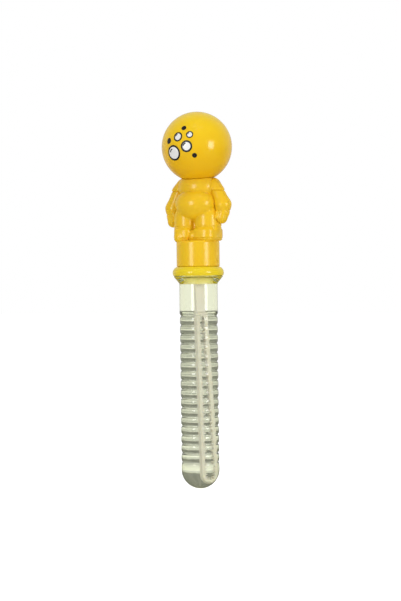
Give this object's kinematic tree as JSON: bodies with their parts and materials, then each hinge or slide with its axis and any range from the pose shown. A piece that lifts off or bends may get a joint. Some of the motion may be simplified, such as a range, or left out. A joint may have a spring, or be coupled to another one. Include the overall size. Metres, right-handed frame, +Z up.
{
  "type": "bubble wand",
  "caption": "Bubble wand: clear ribbed round-ended tube of solution, with a push-in cap that carries a long toothed loop inside and a chubby ball-headed doll on top.",
  "frame": {"origin": "the round tip of the tube, on its axis", "axes": "+Z up the tube's axis towards the head, -Y the way the doll faces, +X to the right of someone who looks at its face"},
  "size_m": [0.0476, 0.0468, 0.2477],
  "materials": {
    "clear_tube": "clear moulded plastic with a faint yellow-green tint",
    "solution": "clear, faintly grey-green liquid",
    "natural_plug": "soft natural polyethylene",
    "wand_natural": "translucent natural polypropylene",
    "ring_lemon": "glossy lemon-yellow plastic",
    "body_yellow": "glossy orange-yellow plastic",
    "pin_yellow": "plain yellow plastic",
    "head_yellow": "glossy yellow plastic with a small print of bubbles"
  },
  "bodies": {
    "bottle": {"tube": "clear_tube", "bubble_solution": "solution"},
    "cap_and_wand": {"plug": "natural_plug", "wand": "wand_natural", "cap_ring": "ring_lemon", "figure_front": "body_yellow", "figure_back": "body_yellow", "neck_pin": "pin_yellow"},
    "ball_head": {"head": "head_yellow"}
  },
  "joints": [
    {"name": "wand_lift", "type": "slide", "parent": "bottle", "child": "cap_and_wand", "axis": [0, 0, 1], "range_m": [0, 0.15]},
    {"name": "head_turn", "type": "hinge", "parent": "cap_and_wand", "child": "ball_head", "pos_m": [0, 0, 0.2034], "axis": [0, 0, 1], "continuous": true}
  ]
}
